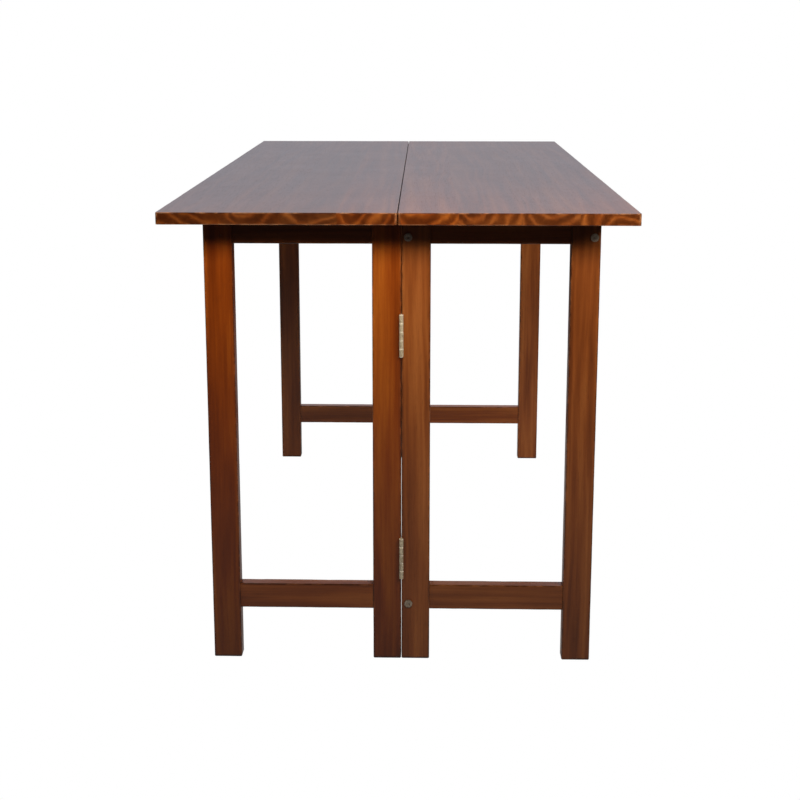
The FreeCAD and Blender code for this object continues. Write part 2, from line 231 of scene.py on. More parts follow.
class Effect:
    """A shader node group that several finishes share. Each kind fills in its sockets and its graph."""

    name = ""
    inputs: dict[str, float | Triple] = {}
    outputs: tuple[str, ...] = ()

    def __init__(self) -> None:
        """Builds the group once, with its named inputs and outputs."""
        self.tree = bpy.data.node_groups.new(self.name, "ShaderNodeTree")
        sockets = self.tree.interface
        for label, value in self.inputs.items():
            kind = "NodeSocketVector" if isinstance(value, tuple) else "NodeSocketFloat"
            sockets.new_socket(name=label, in_out="INPUT", socket_type=kind).default_value = value
        for label in self.outputs:
            sockets.new_socket(name=label, in_out="OUTPUT", socket_type="NodeSocketFloat")
        graph = Graph(self.tree)
        source = self.tree.nodes.new("NodeGroupInput")
        result = self.tree.nodes.new("NodeGroupOutput")
        for label, value in self.draw(graph, source.outputs).items():
            graph.feed(result.inputs[label], value)

    def draw(self, graph: Graph, given: Sockets) -> dict[str, Socket]:
        """Adds the group's own nodes.

        Args:
            graph: the group's graph.
            given: the group's inputs, by name.

        Returns:
            What goes to each output, by name.
        """
        raise NotImplementedError

    def place(self, graph: Graph, **values: object) -> Sockets:
        """Puts the group in a material.

        Args:
            graph: the material's graph.
            values: its inputs, with an underscore for each space in a name.

        Returns:
            The group's outputs, by name.
        """
        made = graph.node("Group", node_tree=self.tree)
        for label, value in values.items():
            graph.feed(made.inputs[label.replace("_", " ")], value)
        return made.outputs


class TimberFigure(Effect):
    """The figure of solid wood round a pith that runs along the third coordinate."""

    name = "Timber Figure"
    inputs = {"Place": (0.0, 0.0, 0.0), "Ring Width": 0.007, "Wander": 0.006}
    outputs = ("Ring", "Streak", "Flame", "Pore", "Relief")
    sway_gain = 6.0         # how far the rings sway for each metre of wander
    unevenness = 0.9        # how much the rings' widths differ, in rings
    sharpness = 1.5         # how sharply each ring ends
    streak_relief = 0.25    # height of the streaks beside the depth of the pores
    # Features in a metre, twice across the grain and once along it.
    sway_scale = (13.0, 13.0, 1.8)
    uneven_scale = (38.0, 38.0, 1.2)
    streak_scale = (210.0, 210.0, 4.2)
    flame_scale = (40.0, 40.0, 3.4)
    pore_scale = (1900.0, 1900.0, 48.0)

    def draw(self, graph: Graph, given: Sockets) -> dict[str, Socket]:
        """Draws rings, streaks, flame and pores, each stretched along the grain."""
        place = given["Place"]
        slow = graph.streaks(place, self.sway_scale)
        sway = graph.vector("SUBTRACT", slow.outputs["Color"], (0.5, 0.5, 0.5))
        amount = graph.node("CombineXYZ")
        for name in ("X", "Y"):
            graph.feed(amount.inputs[name], graph.math("MULTIPLY", given["Wander"], self.sway_gain))
        bent = graph.vector("ADD", place, graph.vector("MULTIPLY", sway, amount.outputs[0]))
        radius = graph.vector("LENGTH", graph.vector("MULTIPLY", bent, (1.0, 1.0, 0.0)))
        turns = graph.math("DIVIDE", radius, given["Ring Width"])
        uneven = graph.streaks(bent, self.uneven_scale, 1.0)
        turns = graph.math("ADD", turns, graph.math("MULTIPLY", uneven.outputs["Fac"], self.unevenness))
        wave = graph.math("MULTIPLY", graph.math("PINGPONG", turns, 0.5), 2.0)
        ring = graph.math("POWER", wave, self.sharpness)
        long = graph.streaks(bent, self.streak_scale, 3.0, 0.62)
        streak = graph.spread(long.outputs["Fac"], 0.32, 0.68)
        broad = graph.streaks(place, self.flame_scale)
        flame = graph.spread(broad.outputs["Fac"], 0.3, 0.7)
        fine = graph.streaks(place, self.pore_scale, 2.0, 0.6)
        pore = graph.spread(fine.outputs["Fac"], 0.56, 0.7)
        relief = graph.math("SUBTRACT", graph.math("MULTIPLY", streak, self.streak_relief), pore)
        return {"Ring": ring, "Streak": streak, "Flame": flame, "Pore": pore, "Relief": relief}


class ArrisWear(Effect):
    """Where the finish has been rubbed thin along the edges of a board, and a darker line along the edges
    where it has not been rubbed.
    """

    name = "Arris Wear"
    inputs = {"Place": (0.0, 0.0, 0.0), "Edge": 0.0, "Amount": 0.6}
    outputs = ("Rubbed", "Dark Line")
    patches = 42.0          # patches of wear in a metre

    def draw(self, graph: Graph, given: Sockets) -> dict[str, Socket]:
        """Breaks the edge mask up, so that the wear comes and goes."""
        patchy = graph.noise(given["Place"], self.patches, 3.0, 0.65).outputs["Fac"]
        worn = graph.spread(patchy, 0.42, 0.66)
        edge = graph.spread(given["Edge"], 0.1, 0.9)
        rubbed = graph.math("MULTIPLY", graph.math("MULTIPLY", edge, worn), given["Amount"], clamp=True)
        # A darker line along the arrises where they are not rubbed.
        beside = graph.math("MULTIPLY", edge, graph.math("SUBTRACT", 1.0, worn), clamp=True)
        return {"Rubbed": rubbed, "Dark Line": beside}


class FilmSheen(Effect):
    """The small changes of gloss in a brushed film of lacquer."""

    name = "Film Sheen"
    inputs = {"Place": (0.0, 0.0, 0.0), "Roughness": 0.3, "Spread": 0.08, "Grain": 0.0}
    outputs = ("Roughness", "Relief")
    brush_scale = (300.0, 300.0, 9.0)
    hand_marks = 9.0        # hand marks in a metre
    open_grain = 0.12       # how much duller the film is over open pores

    def draw(self, graph: Graph, given: Sockets) -> dict[str, Socket]:
        """Adds hand marks, brush marks and open pores to an even gloss."""
        marks = graph.noise(given["Place"], self.hand_marks, 4.0, 0.6).outputs["Fac"]
        brushed = graph.streaks(given["Place"], self.brush_scale)
        shift = graph.math("MULTIPLY", graph.math("SUBTRACT", marks, 0.5), given["Spread"])
        dull = graph.math("MULTIPLY", given["Grain"], self.open_grain)
        total = graph.math("ADD", graph.math("ADD", given["Roughness"], shift), dull, clamp=True)
        return {"Roughness": total, "Relief": brushed.outputs["Fac"]}


class Tarnish(Effect):
    """Dull patches and fine scratches on small metal parts."""

    name = "Tarnish"
    inputs = {"Place": (0.0, 0.0, 0.0), "Patch Size": 0.004}
    outputs = ("Dull", "Scratch")
    scratch_scale = (2600.0, 2600.0, 190.0)

    def draw(self, graph: Graph, given: Sockets) -> dict[str, Socket]:
        """Draws patches of tarnish, and scratches that run up and down."""
        patch = graph.noise(given["Place"], graph.math("DIVIDE", 1.0, given["Patch Size"]), 3.0, 0.6)
        lines = graph.streaks(given["Place"], self.scratch_scale)
        return {
            "Dull": graph.spread(patch.outputs["Fac"], 0.38, 0.64),
            "Scratch": graph.spread(lines.outputs["Fac"], 0.4, 0.62),
        }


@dataclass
class Effects:
    """The shared effects, built once for every finish."""

    figure: TimberFigure = field(default_factory=TimberFigure)
    wear: ArrisWear = field(default_factory=ArrisWear)
    sheen: FilmSheen = field(default_factory=FilmSheen)
    tarnish: Tarnish = field(default_factory=Tarnish)


def new_material(name: str) -> tuple[Material, Graph, Node]:
    """Starts a material.

    Args:
        name: the finish's name.

    Returns:
        The material, its graph and its Principled BSDF.
    """
    material = bpy.data.materials.new(name)
    material.use_nodes = True
    graph = Graph(material.node_tree)
    return material, graph, material.node_tree.nodes["Principled BSDF"]


PALEST = 1.5            # shade of wood whose stain has no depth
OPEN_PORE: Colour = (0.010, 0.004, 0.002)
ARRIS_DARK_LINE: Colour = (0.016, 0.006, 0.003)
BARE_WOOD: Colour = (0.36, 0.17, 0.075)


@dataclass(frozen=True)
class WoodFinish:
    """Stained and lacquered wood.

    Attributes:
        name: the finish's name.
        warm: colours of a board that took the stain orange, from dark figure to light.
        brown: colours of a board that took it brown, from dark figure to light.
        ring_width: distance between growth rings.
        wander: how far the rings wander from true circles.
        figure: shares of the rings, the streaks and the broad flame in the figure.
        pores: how dark the open pores are.
        gloss: roughness of the lacquer.
        coat: weight of the clear coat over the stain.
        coat_gloss: roughness of that coat.
        reflection: the specular level of the film.
        end_shades: shade of the end grain at a ring's dark side and at its light side.
        edge_dark: how dark the line along the arrises is, where they are not rubbed.
        edge_bare: how much of the finish has been rubbed off the arrises.
    """

    name: str
    warm: Stops
    brown: Stops
    ring_width: float = 7.0 * MM
    wander: float = 4.0 * MM
    figure: Triple = (0.22, 0.26, 0.52)
    pores: float = 0.3
    gloss: float = 0.34
    coat: float = 0.2
    coat_gloss: float = 0.22
    reflection: float = 0.35
    end_shades: Pair = (0.5, 0.72)
    edge_dark: float = 0.65
    edge_bare: float = 0.15

    def build(self, effects: Effects) -> Material:
        """Makes the material.

        Args:
            effects: the shared node groups.

        Returns:
            The material.
        """
        material, graph, shader = new_material(self.name)
        place = graph.attribute("grain").outputs["Vector"]
        stain = graph.node("SeparateXYZ")
        graph.feed(stain.inputs[0], graph.attribute("stain").outputs["Vector"])
        warmth, depth, end = (stain.outputs[name] for name in ("X", "Y", "Z"))
        edge = graph.attribute("arris").outputs["Fac"]
        figure = effects.figure.place(graph, Place=place, Ring_Width=self.ring_width, Wander=self.wander)
        wear = effects.wear.place(graph, Place=place, Edge=edge, Amount=self.edge_bare)
        ring, streak, flame = (
            graph.math("MULTIPLY", figure[name], share)
            for name, share in zip(("Ring", "Streak", "Flame"), self.figure)
        )
        light = graph.math("ADD", graph.math("ADD", ring, streak), flame, clamp=True)
        wood = graph.blend(warmth, graph.ramp(light, self.brown), graph.ramp(light, self.warm))
        shade = graph.math("SUBTRACT", PALEST, depth)
        wood = graph.blend(1.0, wood, shade, "MULTIPLY")
        swirl = graph.spread(figure["Ring"], 0.1, 0.9, self.end_shades)
        wood = graph.blend(end, wood, graph.blend(1.0, wood, swirl, "MULTIPLY"))
        pores = graph.math("MULTIPLY", figure["Pore"], self.pores)
        wood = graph.blend(pores, wood, OPEN_PORE)
        # Darker along the arrises where they are not rubbed.
        wood = graph.blend(graph.math("MULTIPLY", wear["Dark Line"], self.edge_dark), wood, ARRIS_DARK_LINE)
        wood = graph.blend(wear["Rubbed"], wood, BARE_WOOD)
        sheen = effects.sheen.place(graph, Place=place, Roughness=self.gloss, Grain=figure["Pore"])
        height = graph.math("ADD", graph.math("MULTIPLY", figure["Relief"], 0.5), sheen["Relief"])
        graph.relief(shader, height, 0.12, 0.05 * MM)
        graph.fill(shader, {
            "Base Color": wood,
            "Roughness": sheen["Roughness"],
            "Specular IOR Level": self.reflection,
            "Coat Weight": self.coat,
            "Coat Roughness": self.coat_gloss,
        })
        return material


@dataclass(frozen=True)
class MetalFinish:
    """A small metal part, bright where it is bare and dull where it has tarnished, with any rims marked
    rubbed painted pale as a painted glint.

    Attributes:
        name: the finish's name.
        bright: colour where it has not tarnished.
        dull: colour where it has tarnished.
        patch: size of the tarnished patches.
        solid: how much of the surface is bare metal under its thin lacquer.
        polish: roughness where it is rubbed and where it is dull.
        rim_glint: a painted glint, the pale colour painted over the rims marked rubbed, where the knuckle
            ends would catch the light.
    """

    name: str
    bright: Colour
    dull: Colour
    patch: float = 4.0 * MM
    solid: float = 1.0
    polish: Pair = (0.22, 0.5)
    rim_glint: Colour = (0.96, 0.91, 0.78)

    def build(self, effects: Effects) -> Material:
        """Makes the material.

        Args:
            effects: the shared node groups.

        Returns:
            The material.
        """
        material, graph, shader = new_material(self.name)
        place = graph.node("TexCoord").outputs["Object"]
        tarnish = effects.tarnish.place(graph, Place=place, Patch_Size=self.patch)
        # The rims marked rubbed shed their tarnish and take the pale rim colour: a painted glint at the
        # hinge's knuckle joints.
        rubbed = graph.attribute("rubbed")
        outside_rim_glint = graph.math("SUBTRACT", 1.0, rubbed.outputs["Fac"], clamp=True)
        dulled = graph.math("MULTIPLY", tarnish["Dull"], outside_rim_glint)
        colour = graph.blend(rubbed.outputs["Fac"], graph.blend(dulled, self.bright, self.dull), self.rim_glint)
        rough = graph.spread(dulled, 0.0, 1.0, self.polish)
        scratched = graph.math("ADD", rough, graph.math("MULTIPLY", tarnish["Scratch"], 0.08), clamp=True)
        graph.relief(shader, tarnish["Scratch"], 0.2, 0.03 * MM)
        graph.fill(shader, {"Base Color": colour, "Roughness": scratched, "Metallic": self.solid})
        return material


# ---------------------------------------------------------------- boards
def smooth_mesh(work: bmesh.types.BMesh, name: str) -> Mesh:
    """Ends the work on a mesh.

    Args:
        work: the mesh under construction, which is freed.
        name: the mesh's name.

    Returns:
        The mesh, shaded smooth.
    """
    mesh = bpy.data.meshes.new(name)
    work.to_mesh(mesh)
    work.free()
    for polygon in mesh.polygons:
        polygon.use_smooth = True
    return mesh


def placed(name: str, data: bpy.types.ID) -> Piece:
    """Makes an object from its data and links it to the scene."""
    made = bpy.data.objects.new(name, data)
    bpy.context.scene.collection.objects.link(made)
    return made


def seat(mesh: Mesh, material: Material, node: str) -> Piece:
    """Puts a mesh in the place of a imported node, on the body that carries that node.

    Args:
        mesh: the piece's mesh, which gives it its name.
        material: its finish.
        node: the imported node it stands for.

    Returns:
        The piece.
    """
    piece = placed(mesh.name, mesh)
    mesh.materials.append(material)
    even = piece.modifiers.new("Even shading", "WEIGHTED_NORMAL")
    even.weight = EVEN_WEIGHT
    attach(piece, frame["nodes"][node].parent.name.removeprefix("body:"))
    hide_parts(node)
    return piece


@dataclass(frozen=True)
class Stain:
    """How a board took the stain: warmth from brown 0 to orange 1, and depth from pale 0 to dark 1."""

    warmth: float = 0.5
    depth: float = 0.5


@dataclass
class Board:
    """A board with rounded, slightly worn arrises, swept along one axis.

    Attributes:
        name: the piece's name.
        low: lowest corner.
        high: highest corner.
        sweep: the axis that the outline is swept along.
        grain: the axis that the wood's fibres run along.
        corner: radius of the outline's corners.
        ends: how the low and the high end of the sweep are finished.
        ease: size of that finish.
        staves: widths of the glued staves across the board, each with its stain.
        seed: start of the board's own random numbers.
        pitch: distance between sections along the sweep.
        cell: size of the faces across the outline.
        arc_steps: faces in each rounded corner.
        band: width of the faces beside a corner, over which its wear fades.
        wear_depth: how deep the arrises are rubbed.
        dent_depth: depth of the small dents in them.
        painted_foot_shade: how much darker the wood is painted at the low end of the grain than at the high
            end, a painted shade of the light falling off toward the floor.
        broken: size of a corner that is just broken.
        wear_scale: how closely the rubbing of an arris comes and goes, in turns a metre.
        dent_scale: how closely its dents may stand, in the same way.
        pith_reach: the nearest and the farthest that a stave's pith lies from its middle.
    """

    name: str
    low: Vector
    high: Vector
    sweep: Axis
    grain: Axis
    corner: float = 1.2 * MM
    ends: tuple[Ease, Ease] = (Ease.BUTT, Ease.BUTT)
    ease: float = 1.5 * MM
    staves: tuple[tuple[float, Stain], ...] = ((1.0, Stain()),)
    seed: int = 1
    pitch: float = 8.0 * MM
    cell: float = 9.0 * MM
    arc_steps: int = 4
    band: float = 2.0 * MM
    wear_depth: float = 0.22 * MM
    dent_depth: float = 0.7 * MM
    painted_foot_shade: float = 0.0
    broken: float = 0.3 * MM
    wear_scale: float = 26.0
    dent_scale: float = 75.0
    pith_reach: Pair = (16 * MM, 45 * MM)

    def __post_init__(self) -> None:
        """Works out the two axes across the sweep and the middle of the outline."""
        self.across = [i for i in range(3) if i != self.sweep.value]
        self.middle = (self.low + self.high) / 2
        self.half = [(self.high[i] - self.low[i]) / 2 for i in self.across]
        self.length = self.high[self.sweep.value] - self.low[self.sweep.value]

    def stations(self) -> list[tuple[float, float, float, float]]:
        """Sections along the sweep.

        Returns:
            For each one its place, how far its outline is drawn in, the slope of the surface from 0
            on the sides to 1 on the end, and how much of an edge it is.
        """
        near = self.end_stations(self.ends[0])
        far = [
            (self.length - place, inset, -slope, edge)
            for place, inset, slope, edge in self.end_stations(self.ends[1])
        ]
        start, stop = near[-1][0], far[-1][0]
        count = max(1, math.ceil((stop - start) / self.pitch))
        between = [(start + (stop - start) * i / count, 0.0, 0.0, 0.0) for i in range(1, count)]
        return near + between + far[::-1]

    def end_stations(self, finish: Ease) -> list[tuple[float, float, float, float]]:
        """The sections that shape one end, from the end inwards."""
        if finish is Ease.BUTT:
            return [(0.0, 0.0, 0.0, 0.0)]
        if finish is Ease.ROUND:
            made = []
            for i in range(self.arc_steps + 1):
                angle = math.pi / 2 * (1 - i / self.arc_steps)
                place = self.ease * (1 - math.sin(angle))
                inset = self.ease * (1 - math.cos(angle))
                made.append((place, inset, math.sin(angle), math.sin(2 * angle) * 0.5 + 0.5))
            return made + [(self.ease + self.band, 0.0, 0.0, 0.0)]
        size = self.ease if finish is Ease.CHAMFER else self.broken
        return [(0.0, size, 0.7, 1.0), (size, 0.0, 0.7, 1.0), (size + self.band, 0.0, 0.0, 0.0)]

    def cuts(self, side: int) -> list[float]:
        """Places of the lines that divide one side of the outline, between its corners.

        Args:
            side: 0 or 1, the side's axis in across.

        Returns:
            Places from the middle of the board, rising.
        """
        reach = self.half[side] - self.corner
        marks = [-reach, -reach + self.band, reach - self.band, reach]
        if side == self.stave_side():
            marks += [place - self.half[side] for place in self.stave_edges()[1:-1]]
        marks.sort()
        filled = [marks[0]]
        for previous, following in zip(marks, marks[1:]):
            parts = max(1, round((following - previous) / self.cell))
            filled += [previous + (following - previous) * i / parts for i in range(1, parts + 1)]
        return filled

    def stave_side(self) -> int:
        """Which side of the outline the glued staves divide: the wider one that crosses the grain."""
        crossing = [side for side in (0, 1) if self.grain.value != self.across[side]]
        return max(crossing, key=lambda side: (self.half[side], side))

    def stave_edges(self) -> list[float]:
        """Edges of the staves, from the board's low side."""
        total = sum(width for width, _ in self.staves)
        edges = [0.0]
        for width, _ in self.staves:
            edges.append(edges[-1] + width / total * 2 * self.half[self.stave_side()])
        return edges

    def drawn_in(self, inset: float) -> tuple[float, list[float], list[list[float]]]:
        """The outline's frame where it is drawn in.

        Args:
            inset: how far it is drawn in.

        Returns:
            The corners' radius, how far each side's straight part reaches from the middle, and each
            side's cuts.
        """
        radius = max(self.corner - inset, LEAST_RADIUS)
        reach = [half - inset - radius for half in self.half]
        lines = [[min(max(p, -reach[k]), reach[k]) for p in self.cuts(k)] for k in (0, 1)]
        return radius, reach, lines

    def outline(self, inset: float) -> list[tuple[float, float, float, float, float, int, int]]:
        """One section's outline.

        Args:
            inset: how far it is drawn in.

        Returns:
            Points round it, each as its two places, its two normals, how much of an edge it is, and
            the line of each set of cuts that it belongs to.
        """
        radius, reach, lines = self.drawn_in(inset)
        last = [len(lines[0]) - 1, len(lines[1]) - 1]
        points = []
        for quarter in range(4):
            sign_a, sign_b = ((1, 1), (-1, 1), (-1, -1), (1, -1))[quarter]
            at = (last[0] if sign_a > 0 else 0, last[1] if sign_b > 0 else 0)
            for i in range(self.arc_steps + 1):
                angle = math.pi / 2 * (quarter + i / self.arc_steps)
                na, nb = math.cos(angle), math.sin(angle)
                edge = 0.5 if i in (0, self.arc_steps) else 1.0
                a, b = sign_a * reach[0] + radius * na, sign_b * reach[1] + radius * nb
                points.append((a, b, na, nb, edge, *at))
            runs = (
                [(i, last[1]) for i in range(last[0] - 1, 0, -1)],
                [(0, j) for j in range(last[1] - 1, 0, -1)],
                [(i, 0) for i in range(1, last[0])],
                [(last[0], j) for j in range(1, last[1])],
            )[quarter]
            normal = ((0.0, 1.0), (-1.0, 0.0), (0.0, -1.0), (1.0, 0.0))[quarter]
            for i, j in runs:
                a = lines[0][i] if normal[0] == 0.0 else normal[0] * (reach[0] + radius)
                b = lines[1][j] if normal[1] == 0.0 else normal[1] * (reach[1] + radius)
                points.append((a, b, *normal, 0.0, i, j))
        return points

    def place(self, along: float, a: float, b: float) -> Vector:
        """A point of the board in the model's frame."""
        point = Vector(self.middle)
        point[self.sweep.value] = self.low[self.sweep.value] + along
        point[self.across[0]] += a
        point[self.across[1]] += b
        return point

    def worn(self, point: Vector, outward: Vector, edge: float) -> Vector:
        """Where wear has brought a point of an arris.

        Args:
            point: the unworn place.
            outward: the way out of the wood there.
            edge: how much of an edge it is.

        Returns:
            The worn place.
        """
        if edge < LEAST_EDGE:
            return point
        key = point * self.wear_scale + Vector((self.seed * 7.3, 0.0, 0.0))
        rubbed = max(0.0, EVEN_RUB + noise.fractal(key, *RUB_LAYERS))
        dent_key = point * self.dent_scale + Vector((0.0, self.seed * 3.1, 0.0))
        dent = max(0.0, noise.noise(dent_key) - DENT_START)
        return point - outward * edge * (self.wear_depth * rubbed + self.dent_depth * dent)

    def mesh(self) -> Mesh:
        """Builds the board's mesh.

        Returns:
            The mesh, with its grain, stain and arris data.
        """
        work = bmesh.new()
        arris = work.verts.layers.float.new("arris")
        rings = []
        for along, inset, slope, station_edge in self.stations():
            ring = []
            for a, b, na, nb, edge, i, j in self.outline(inset):
                flat = math.sqrt(max(0.0, 1 - slope * slope))
                outward = self.place(0, na * flat, nb * flat) - self.place(0, 0, 0)
                outward[self.sweep.value] -= slope
                weight = max(edge, station_edge)
                vert = work.verts.new(self.worn(self.place(along, a, b), outward, weight))
                vert[arris] = weight
                ring.append((vert, i, j))
            rings.append(ring)
        for lower, upper in zip(rings, rings[1:]):
            for k in range(len(lower)):
                n = (k + 1) % len(lower)
                work.faces.new((lower[k][0], lower[n][0], upper[n][0], upper[k][0]))
        for ring, station in ((rings[0], self.stations()[0]), (rings[-1], self.stations()[-1])):
            self.cap(work, ring, station[0], station[1])
        bmesh.ops.recalc_face_normals(work, faces=work.faces)
        mesh = smooth_mesh(work, self.name)
        self.write_wood(mesh)
        return mesh

    def cap(self, work: bmesh.types.BMesh, ring: list[tuple[bmesh.types.BMVert, int, int]],
            along: float, inset: float) -> None:
        """Closes one end of the sweep with a grid that meets the outline point for point.

        Args:
            work: the mesh under construction.
            ring: the end's outline.
            along: the end's place.
            inset: how far its outline is drawn in.
        """
        lines = self.drawn_in(inset)[2]
        grid = [[work.verts.new(self.place(along, a, b)) for b in lines[1]] for a in lines[0]]
        for i in range(len(lines[0]) - 1):
            for j in range(len(lines[1]) - 1):
                work.faces.new((grid[i][j], grid[i + 1][j], grid[i + 1][j + 1], grid[i][j + 1]))
        for k, (vert, i, j) in enumerate(ring):
            following, fi, fj = ring[(k + 1) % len(ring)]
            inner = [grid[i][j]] if (i, j) == (fi, fj) else [grid[fi][fj], grid[i][j]]
            work.faces.new([vert, following] + inner)

    def write_wood(self, mesh: Mesh) -> None:
        """Stores, for each face corner, its place from its stave's pith and its stain.

        Args:
            mesh: the finished mesh.
        """
        chance = random.Random(self.seed)
        side = self.stave_side()
        wide, thick = self.across[side], self.across[1 - side]
        if self.grain is not self.sweep:
            thick = self.sweep.value
        edges = np.array(self.stave_edges()) + self.low[wide]
        piths = []
        for low, high in zip(edges, edges[1:]):
            side_way = chance.choice((-1, 1))
            piths.append((
                (low + high) / 2 + chance.uniform(-0.3, 0.3) * (high - low),
                self.middle[thick] + side_way * chance.uniform(*self.pith_reach),
                chance.uniform(-5.0, 5.0),
            ))
        co = np.zeros(len(mesh.vertices) * 3)
        mesh.vertices.foreach_get("co", co)
        co = co.reshape(-1, 3)
        loops = np.zeros(len(mesh.loops), int)
        mesh.loops.foreach_get("vertex_index", loops)
        sizes = np.array([polygon.loop_total for polygon in mesh.polygons])
        centres = np.array([polygon.center[wide] for polygon in mesh.polygons])
        normals = np.array([abs(polygon.normal[self.grain.value]) for polygon in mesh.polygons])
        which = np.repeat(np.clip(np.searchsorted(edges, centres) - 1, 0, len(piths) - 1), sizes)
        pith = np.array(piths)[which]
        grain = np.stack([
            co[loops][:, wide] - pith[:, 0],
            co[loops][:, thick] - pith[:, 1],
            co[loops][:, self.grain.value] + pith[:, 2],
        ], axis=1)
        stains = np.array([(s.warmth, s.depth) for _, s in self.staves])[which]
        fibres = self.grain.value
        rise = (co[loops][:, fibres] - self.low[fibres]) / (self.high[fibres] - self.low[fibres])
        # Painted shade: the wood is painted darker toward the low end of the grain, standing in for the light
        # falling off toward the floor.
        stains[:, 1] += self.painted_foot_shade * (1.0 - rise)
        end = np.clip((np.repeat(normals, sizes) - END_START) * END_RISE, 0.0, 1.0)
        stain = np.column_stack([stains, end])
        for name, values in (("grain", grain), ("stain", stain)):
            layer = mesh.attributes.new(name, "FLOAT_VECTOR", "CORNER")
            layer.data.foreach_set("vector", values.astype(np.float32).ravel())


# ---------------------------------------------------------------- finishes
WARM: Stops = ((0.0, (0.110, 0.018, 0.0010)), (0.45, (0.205, 0.040, 0.0025)), (1.0, (0.330, 0.090, 0.008)))
BROWN: Stops = ((0.0, (0.100, 0.030, 0.0070)), (0.45, (0.175, 0.058, 0.0150)), (1.0, (0.260, 0.100, 0.032)))
DARK: Stops = ((0.0, (0.030, 0.009, 0.004)), (0.5, (0.085, 0.027, 0.012)), (1.0, (0.16, 0.06, 0.03)))


@dataclass
class Finishes:
    """Every finish on the table, built once."""

    effects: Effects
    made: dict[str, Material] = field(default_factory=dict)

    def build(self) -> dict[str, Material]:
        """Builds the materials.

        Returns:
            The materials by name.
        """
        finishes = (
            WoodFinish("Top Wood", WARM, BROWN, ring_width=15 * MM, wander=9 * MM, figure=(0.3, 0.25, 0.45),
                       pores=0.15, gloss=0.3, coat=0.5, coat_gloss=0.2, reflection=0.5,
                       end_shades=(0.5, 0.88), edge_dark=0.5, edge_bare=0.7),
            WoodFinish("Frame Wood", WARM, BROWN),
            WoodFinish("Hidden Wood", DARK, DARK, coat=0.0, gloss=0.5),
            WoodFinish("Dowel Wood", DARK, DARK, coat=0.0, gloss=0.7),
            MetalFinish("Hinge Metal", (0.66, 0.60, 0.45), (0.34, 0.29, 0.20), patch=3 * MM,
                        solid=0.3, polish=(0.2, 0.36)),
            MetalFinish("Screw Steel", (0.70, 0.67, 0.60), (0.46, 0.43, 0.36), patch=2.5 * MM),
            MetalFinish("Bolt Steel", (0.46, 0.38, 0.30), (0.22, 0.17, 0.125), patch=2.2 * MM, solid=0.6),
        )
        for finish in finishes:
            self.made[finish.name] = finish.build(self.effects)
        return self.made


# ---------------------------------------------------------------- sub-assemblies
@dataclass
class TableTop:
    """The two boards of the top, each glued up from four staves."""

    materials: dict[str, Material]
    corner: float = 3.0 * MM
    arris: float = 1.0 * MM

    def build(self) -> list[Piece]:
        """Builds both boards.

        Returns:
            The pieces.
        """
        plans = (
            ("leaf_top", 11, (
                (0.26, Stain(0.75, 1.0)),
                (0.25, Stain(0.6, 0.92)),
                (0.24, Stain(0.5, 0.9)),
                (0.25, Stain(0.8, 0.75)),
            )),
            ("fixed_top", 12, (
                (0.25, Stain(0.8, 0.6)),
                (0.26, Stain(0.6, 0.68)),
                (0.24, Stain(0.5, 0.7)),
                (0.25, Stain(0.6, 0.66)),
            )),
        )
        pieces = []
        for node, seed, staves in plans:
            low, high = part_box(node)
            board = Board(node + "_board", low, high, Axis.Z, Axis.Y, self.corner, (Ease.ROUND, Ease.ROUND),
                          self.arris, staves, seed, pitch=4 * MM, cell=10 * MM)
            pieces.append(seat(board.mesh(), self.materials["Top Wood"], node))
        return pieces


@dataclass
class EndFrame:
    """The legs, rail and stretcher of one end frame, fixed or swinging.

    Attributes:
        materials: the finishes.
        nodes: the leg on the low X side, the leg on the high X side, the top rail and the low stretcher.
        stains: stains of those four boards, in that order.
        seed: start of their random numbers.
        painted_foot_shade: how much darker the legs are painted at their feet than at their tops, a painted
            shade of the light falling off toward the floor.
        corner: radius of the boards' corners.
        foot: chamfer under the feet.
        edge_band: width over which the dark stain beside an arris fades.
    """

    materials: dict[str, Material]
    nodes: tuple[str, str, str, str]
    stains: tuple[Stain, Stain, Stain, Stain]
    seed: int
    painted_foot_shade: float = 0.0
    corner: float = 1.4 * MM
    foot: float = 1.5 * MM
    # edge_band: width over which the dark line beside an arris fades.
    edge_band: float = 3.5 * MM

    def build(self) -> list[Piece]:
        """Builds the four boards.

        Returns:
            The pieces.
        """
        wood = self.materials["Frame Wood"]
        pieces = []
        inner = []
        for step, node in enumerate(self.nodes[:2]):
            low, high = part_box(node)
            inner.append(high.x if step == 0 else low.x)
            board = Board(node + "_board", low, high, Axis.Z, Axis.Z, self.corner, (Ease.CHAMFER, Ease.SHARP),
                          self.foot, ((1.0, self.stains[step]),), self.seed + step,
                          band=self.edge_band, painted_foot_shade=self.painted_foot_shade)
            pieces.append(seat(board.mesh(), wood, node))
        for step, node in enumerate(self.nodes[2:], 2):
            low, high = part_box(node)
            low.x, high.x = inner
            board = Board(node + "_board", low, high, Axis.X, Axis.X, self.corner,
                          staves=((1.0, self.stains[step]),), seed=self.seed + step)
            pieces.append(seat(board.mesh(), wood, node))
        return pieces


# Each end frame's legs, its rails' shared name, its stains, its seed and how much painted shade darkens its
# legs toward their feet.
END_FRAMES = (
    (("front_", "centre_leg", "outer_leg"), "front_fixed_",
     (Stain(0.35, 0.45), Stain(0.4, 0.55), Stain(0.5, 0.7), Stain(0.3, 0.5)), 20, 0.0),
    (("back_", "centre_leg", "outer_leg"), "back_fixed_",
     (Stain(0.5, 0.4), Stain(0.4, 0.15), Stain(0.5, 0.7), Stain(0.6, 0.45)), 30, 0.0),
    # Only the front gate's legs are painted darker toward their feet, as painted shade.
    (("front_gate_", "outer_leg", "inner_leg"), "front_gate_",
     (Stain(1.0, 0.52), Stain(0.95, 0.45), Stain(0.5, 0.7), Stain(0.5, 0.6)), 40, 0.45),
    (("back_gate_", "outer_leg", "inner_leg"), "back_gate_",
     (Stain(0.5, 0.8), Stain(0.5, 0.6), Stain(0.5, 0.7), Stain(0.4, 0.7)), 50, 0.0),
)


